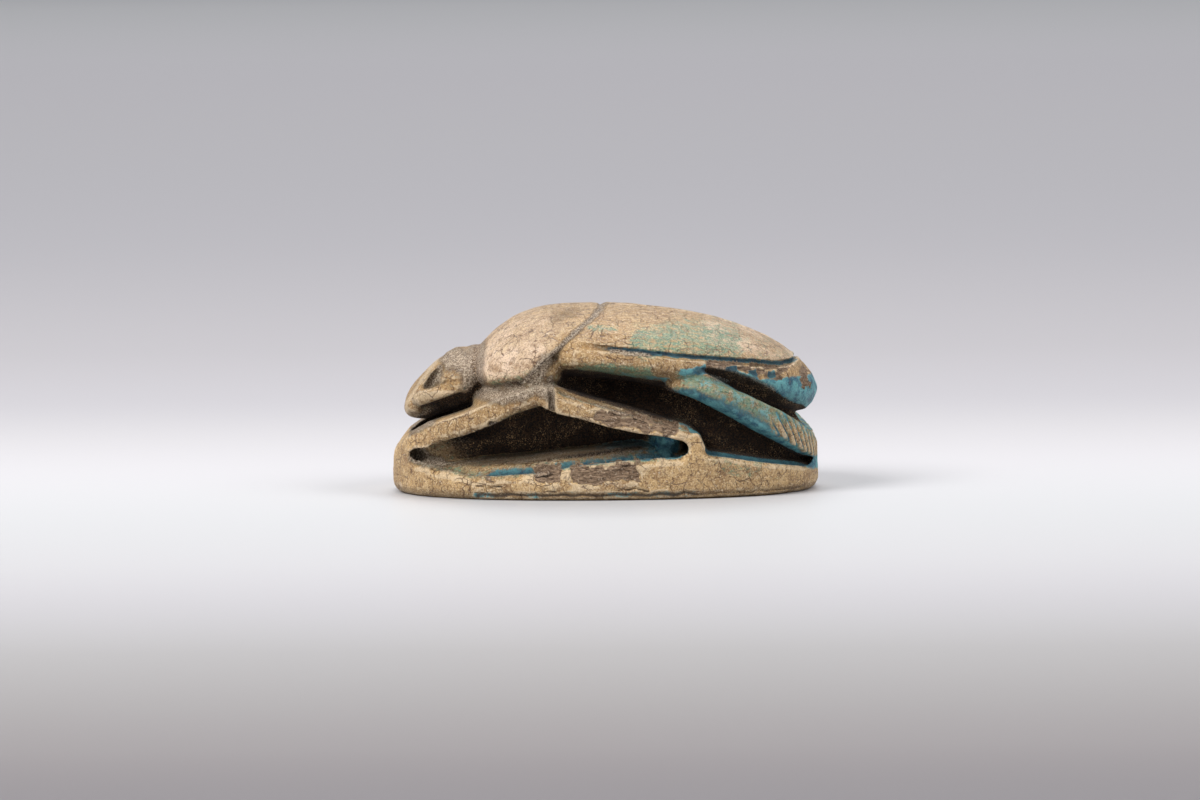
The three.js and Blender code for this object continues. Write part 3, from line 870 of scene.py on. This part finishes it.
# Rubbed pale on edges that stick out, and painted highlights on the rim and eye of the head.
keep("rubbed_and_highlit", np.maximum(ease(edge, 0.008, 0.030), head_painted_highlights))
# Painted shade: closed darkens the stone in hollows, on faces turned down and on the flange under the wing
# case.
flange = 0.40 * on_line(side, FLANGE, 0.35, 0.35)
keep("closed", np.maximum.reduce([ease(hollow, 0.10, 0.50), 0.9 * faces_down, flange]))
keep("abyss", ease(hollow, 0.50, 0.80) * (1 - 0.8 * pocket))
keep("polish", ease(z / HEIGHT, 0.50, 0.75) * (1 - ease(hollow, 0.1, 0.3)))
# Painted highlight: pale is the stone painted lighter where light shines on the shield and the wing case.
shield_painted_highlight = shield * on_line(side, SHIELD_PAINTED_HIGHLIGHT, 0.6, 1.3)
keep("pale", np.maximum(shield_painted_highlight, 0.7 * on_line(side, WING_PAINTED_HIGHLIGHT, 0.3, 0.7)))
keep("ochre", 1 - ease(z / HEIGHT, 0.22, 0.50))

# %% [markdown]
# ## Shader groups
# Two patterns come back in every layer of this finish, so each is a node group. Specks are spots of noise
# that cover a chosen share of the surface. Crackle is the net of fine cracks in a glaze: lines where the
# cells of a Voronoi pattern meet, kept only in places, because not every cell has cracked open.
# %% Node groups
def start_group(name, inputs):
    """A shader group that takes a vector and these numbers, and gives a mask."""
    tree = bpy.data.node_groups.new(name, "ShaderNodeTree")
    tree.interface.new_socket("Vector", in_out="INPUT", socket_type="NodeSocketVector")
    for label, value in inputs.items():
        socket = tree.interface.new_socket(label, in_out="INPUT", socket_type="NodeSocketFloat")
        socket.default_value = value
    tree.interface.new_socket("Mask", in_out="OUTPUT", socket_type="NodeSocketFloat")
    given = tree.nodes.new("NodeGroupInput").outputs
    result = tree.nodes.new("NodeGroupOutput").inputs["Mask"]
    return tree, given, result


def noise_of(tree, vector, scale, detail=2.0, roughness=0.5):
    inputs = {"Vector": vector, "Scale": scale, "Detail": detail, "Roughness": roughness}
    return node(tree, "TexNoise", inputs).outputs["Fac"]


def specks_group():
    tree, given, result = start_group("specks", {"Scale": 8.0, "Level": 0.6, "Soft": 0.05})
    lumps = noise_of(tree, given["Vector"], given["Scale"], 3.0, 0.6)
    end = sum_of(tree, "ADD", given["Level"], given["Soft"])
    tree.links.new(step(tree, lumps, given["Level"], end), result)
    return tree


def crackle_group():
    tree, given, result = start_group("crackle", {"Scale": 1.3, "Width": 0.03, "Kept": 0.5})
    inputs = {"Vector": given["Vector"], "Scale": given["Scale"], "Randomness": 0.62}
    cells = node(tree, "TexVoronoi", inputs, feature="DISTANCE_TO_EDGE").outputs["Distance"]
    gap = step(tree, cells, given["Width"], 0.0)
    patches = noise_of(tree, given["Vector"], given["Scale"], 1.0)
    kept_end = sum_of(tree, "ADD", given["Kept"], 0.08)
    kept = step(tree, patches, given["Kept"], kept_end)
    tree.links.new(sum_of(tree, "MULTIPLY", gap, kept), result)
    return tree


SPECKS = specks_group()
CRACKLE = crackle_group()
print("groups", [group.name for group in (SPECKS, CRACKLE)])

# %% [markdown]
# ## Tools for the finish
# The finish is built up as it came about, layer on layer, so it needs a few more helpers: one reads a
# field from the mesh, one covers what is there with a tone, and one breaks up the edge of a field with
# noise, because no layer of glaze or dirt ends in a smooth line.
# %% Finish helpers
def field(name):
    return node(tree, "Attribute", {}, attribute_name=name).outputs["Fac"]


def mask_of(group, vector, **numbers):
    """One of the groups above, placed in the finish with these values."""
    made = tree.nodes.new("ShaderNodeGroup")
    made.node_tree = group
    feed(tree, made.inputs["Vector"], vector)
    for name, value in numbers.items():
        made.inputs[name].default_value = value
    return made.outputs["Mask"]


def stretched(vector, x, y, z):
    return node(tree, "VectorMath", {0: vector, 1: (x, y, z)}, operation="MULTIPLY").outputs[0]


def times(mask, amount):
    return sum_of(tree, "MULTIPLY", mask, amount)


def plus(first, second):
    return sum_of(tree, "ADD", first, second)


def less(first, second):
    return sum_of(tree, "SUBTRACT", first, second)


def greater(first, second):
    return sum_of(tree, "MAXIMUM", first, second)


def broken(value, breaker, spread, start, end):
    """A field whose edge is moved about by a noise, as a mask."""
    return step(tree, plus(value, times(less(breaker, 0.5), spread)), start, end)


def cover(under, layers):
    """The colour under, covered in turn by each tone where its mask is 1, as far as its amount."""
    for mask, amount, over in layers:
        under = mix(tree, times(mask, amount), under, tone(*over))
    return under


steatite = bpy.data.materials.new("worn_glazed_steatite")
steatite.use_nodes = True
tree = steatite.node_tree
shader = tree.nodes["Principled BSDF"]
print("finish", steatite.name)

# %% [markdown]
# ## Patterns
# Each layer breaks up at its own scale, from broad clouds over the back to grains a twentieth of a
# millimetre across. All patterns read the piece's own coordinates, in millimetres. One copy of them is
# bent by a slow noise, so that cracks and streaks don't run dead straight.
# %% Patterns
BEND = 0.55

place = node(tree, "TexCoord", {}).outputs["Object"]
spot = node(tree, "Mapping", {"Vector": place, "Scale": (1 / MM, 1 / MM, 1 / MM)}).outputs["Vector"]
drift = node(tree, "TexNoise", {"Vector": spot, "Scale": 1.8, "Detail": 3.0}).outputs["Color"]
drift = node(tree, "VectorMath", {0: drift, 1: (0.5, 0.5, 0.5)}, operation="SUBTRACT").outputs[0]
drift = node(tree, "VectorMath", {0: drift, "Scale": BEND}, operation="SCALE").outputs[0]
bent = node(tree, "VectorMath", {0: spot, 1: drift}, operation="ADD").outputs[0]

broad = noise_of(tree, spot, 0.55, 2.0)
stain = noise_of(tree, bent, 1.15, 5.0, 0.6)
mottle = noise_of(tree, spot, 2.6, 6.0, 0.68)
fine = noise_of(tree, spot, 14.0, 4.0, 0.75)
grains = noise_of(tree, spot, 15.0, 3.0, 0.8)
ragged = node(tree, "Mix", {0: 0.45, 2: mottle, 3: fine}).outputs[0]
streak = noise_of(tree, stretched(bent, 0.7, 1.0, 1.9), 4.2, 5.0, 0.7)
grit = noise_of(tree, stretched(spot, 0.8, 1.0, 2.6), 5.0, 5.0, 0.75)
print("patterns:", len(tree.nodes), "nodes")

# %% [markdown]
# ## Bare stone
# Fired steatite under a lost glaze is tan, with darker clouds, stains and a salt and pepper grain. The
# tones are laid on from the broadest to the finest. Where hands polish the back the grain is fainter, and
# where an edge stands out it is rubbed pale. Painted shade darkens it where it is closed in, and painted
# highlights lighten the shine on the shield and wing case and the rim and eye of the head.
# %% Bare stone
BACK_TONE = (176, 140, 90)
BASE_TONE = (204, 167, 114)

coarse = less(1.0, times(field("polish"), 0.25))
pepper = times(step(tree, fine, 0.48, 0.36), coarse)
salt = times(step(tree, fine, 0.54, 0.66), coarse)
freckles = mask_of(SPECKS, spot, Scale=6.0, Level=0.62, Soft=0.04)
crumbs = mask_of(SPECKS, bent, Scale=12.0, Level=0.61, Soft=0.04)
rubbed_and_highlit = broken(field("rubbed_and_highlit"), ragged, 1.8, 0.40, 0.95)
stone = mix(tree, field("ochre"), tone(*BACK_TONE), tone(*BASE_TONE))
stone = cover(stone, [  # mask, how much of it shows, and the tone
    # painted highlight on the shield and the wing case
    (field("pale"), 0.85, (232, 204, 178)),
    (step(tree, broad, 0.42, 0.64), 0.66, (160, 126, 80)),  # darker clouds
    (step(tree, stain, 0.52, 0.66), 0.60, (148, 110, 68)),
    (step(tree, mottle, 0.50, 0.70), 0.55, (222, 194, 150)),  # light mottling
    (step(tree, mottle, 0.49, 0.30), 0.70, (138, 102, 64)),  # dark mottling
    # painted shade where the stone is closed in or faces down
    (field("closed"), 0.60, (98, 80, 54)),
    (pepper, 0.85, (100, 68, 42)),
    (salt, 0.70, (242, 220, 180)),
    (freckles, 0.60, (104, 72, 48)),
    (crumbs, 0.45, (238, 220, 194)),
    # rubbed edges, and painted highlights on the head
    (rubbed_and_highlit, 0.45, (230, 208, 174)),
])
print("bare stone:", len(tree.nodes), "nodes")

# %% [markdown]
# ## Cracks in the glaze
# A glaze shrinks more than its stone and crazes: a few long cracks first, and then a finer net between
# them. Dirt has made both brown, and they still show on the stone where the glaze itself is gone.
# %% Cracks
CRACK_STRETCH = (1.0, 1.0, 0.8)

wide = mask_of(CRACKLE, stretched(bent, *CRACK_STRETCH), Scale=1.5, Width=0.030, Kept=0.46)
net = mask_of(CRACKLE, stretched(bent, *CRACK_STRETCH), Scale=3.4, Width=0.046, Kept=0.46)
cracks = greater(times(wide, 0.95), times(net, 0.60))
stone = cover(stone, [(cracks, 0.88, (86, 54, 33))])
print("cracks:", len(tree.nodes), "nodes")

# %% [markdown]
# ## Old glaze
# The green bloom is thin, so it lies in streaks, and the highest grains stand through it. The blue covers
# fully where it is left, lighter where it is thick and worn, navy where it pooled, and darkened with
# painted shade where it is closed in. Both are speckled with grime.
# %% Glaze
green = broken(field("green"), streak, 2.3, 0.46, 1.04)
green = times(green, less(1.0, times(step(tree, ragged, 0.52, 0.59), 0.65)))
green_tone = mix(tree, step(tree, fine, 0.38, 0.62), tone(78, 128, 108), tone(142, 158, 122))
coat = mix(tree, times(green, 0.90), stone, green_tone)

blue = broken(field("blue"), ragged, 2.2, 0.36, 0.74)
blue_tone = mix(tree, step(tree, mottle, 0.36, 0.60), tone(24, 88, 114), tone(104, 172, 176))
blue_tone = cover(blue_tone, [
    (step(tree, fine, 0.52, 0.70), 0.50, (150, 182, 164)),
    (field("navy"), 0.90, (14, 44, 60)),
    # painted shade on the glaze where it is closed in or faces down
    (field("closed"), 0.28, (12, 58, 76)),
])
coat = mix(tree, blue, coat, blue_tone)
coat = cover(coat, [(times(greater(blue, green), pepper), 0.35, (58, 60, 50))])
print("glaze:", len(tree.nodes), "nodes")

# %% [markdown]
# ## Broken places
# Where a flake is gone, raw grey-brown stone shows, in long grains along its bed, with a pale rim where
# the break cuts through the tan skin. Cracks and the old lines are filled with near black, and the ledge
# near the ground is painted near black as painted shade.
# %% Broken places
raw = mix(tree, step(tree, grit, 0.36, 0.64), tone(84, 63, 46), tone(170, 142, 114))
raw = cover(raw, [(crumbs, 0.6, (214, 194, 170))])
broken_away = broken(field("flake"), grit, 1.6, 0.42, 0.62)
coat = mix(tree, broken_away, coat, raw)
coat = cover(coat, [
    (times(broken_away, less(1.0, broken_away)), 1.6, (222, 202, 176)),  # the rim of the break
    # near black: dirt in cracks and lines, painted shade in the ledge near the ground
    (step(tree, field("split"), 0.35, 0.8), 0.85, (46, 34, 26)),
])
print("broken places:", len(tree.nodes), "nodes")

# %% [markdown]
# ## Dust and dirt
# Dust is pale grains with dark pits between them. Dirt is nearly black where it is deep, and where it is
# open to the light it is painted browner, as painted light and shade on the dirt. Lint and pale motes are
# caught in it, in clumps. Both lie over everything else, so they come last.
# %% Dust and dirt
pits = mask_of(SPECKS, spot, Scale=10.0, Level=0.63, Soft=0.03)
dust_tone = mix(tree, step(tree, grains, 0.43, 0.58), tone(94, 78, 64), tone(218, 200, 178))
dust_tone = cover(dust_tone, [(pits, 0.9, (40, 32, 30))])
dusty = broken(field("dust"), ragged, 2.0, 0.34, 0.92)
coat = mix(tree, times(dusty, 0.74), coat, dust_tone)

lint = mask_of(CRACKLE, stretched(bent, 1.3, 1.3, 1.3), Scale=4.5, Width=0.06, Kept=0.55)
motes = mask_of(SPECKS, spot, Scale=20.0, Level=0.57, Soft=0.06)
shown = less(step(tree, stain, 0.36, 0.62), times(field("abyss"), 0.9))
clumps = times(step(tree, stain, 0.44, 0.60), 0.60)
bits = times(greater(times(lint, 0.7), motes), greater(shown, clumps))
dirt_tone = mix(tree, step(tree, grains, 0.42, 0.64), tone(8, 4, 2), tone(80, 54, 31))
dirt_tone = cover(dirt_tone, [
    # painted light: browner where the dirt is open to the light, near black where it is closed in
    (less(1.0, field("closed")), 0.75, (112, 82, 54)),
    (bits, 1.0, (216, 178, 128)),
])
dirty = broken(field("dirt"), fine, 1.5, 0.38, 0.66)
coat = mix(tree, dirty, coat, dirt_tone)
feed(tree, shader.inputs["Base Color"], coat)
print("dust and dirt:", len(tree.nodes), "nodes")

# %% [markdown]
# ## Gloss and fine relief
# The same masks drive roughness and bump. Dust, dirt and raw stone are matt, and the polished back keeps
# a soft shine. Pores, cracks and grains are finer than the mesh, so they are a bump, in millimetres.
# %% Gloss and relief
GLOSS_BASE = 0.34
GLOSS_SPREAD = 0.35
POLISH_SHINE = 0.16
LOOSE_MATT = 0.42
PORE_HEIGHTS = (0.055, 0.100)  # of fine and of broader pores, in millimetres
CRACK_HEIGHT = 0.035
FRECKLE_HEIGHT = 0.012
GRAIN_HEIGHT = 0.075

loose = greater(greater(dusty, dirty), broken_away)
gloss = less(plus(times(mottle, GLOSS_SPREAD), GLOSS_BASE), times(field("polish"), POLISH_SHINE))
feed(tree, shader.inputs["Roughness"], plus(gloss, times(loose, LOOSE_MATT)))

relief = times(plus(times(fine, PORE_HEIGHTS[0]), times(mottle, PORE_HEIGHTS[1])), coarse)
relief = less(relief, times(cracks, CRACK_HEIGHT))
relief = less(relief, times(freckles, FRECKLE_HEIGHT))
relief = plus(relief, times(times(plus(grains, grit), loose), GRAIN_HEIGHT))
bump = node(tree, "Bump", {"Height": relief, "Distance": MM, "Strength": 1.0})
feed(tree, shader.inputs["Normal"], bump.outputs["Normal"])

scarab.data.materials.clear()
scarab.data.materials.append(steatite)
print("nodes in the finish:", len(tree.nodes))

# %% [markdown]
# ## Into the frame
# Back to metres, with the place in the mesh and the object at the origin. The piece rides on the
# amulet's only body and stands for the imported solid.
# %% Finish
scarab.data.transform(TO_METRES)
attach(scarab, "root")
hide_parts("scarab")
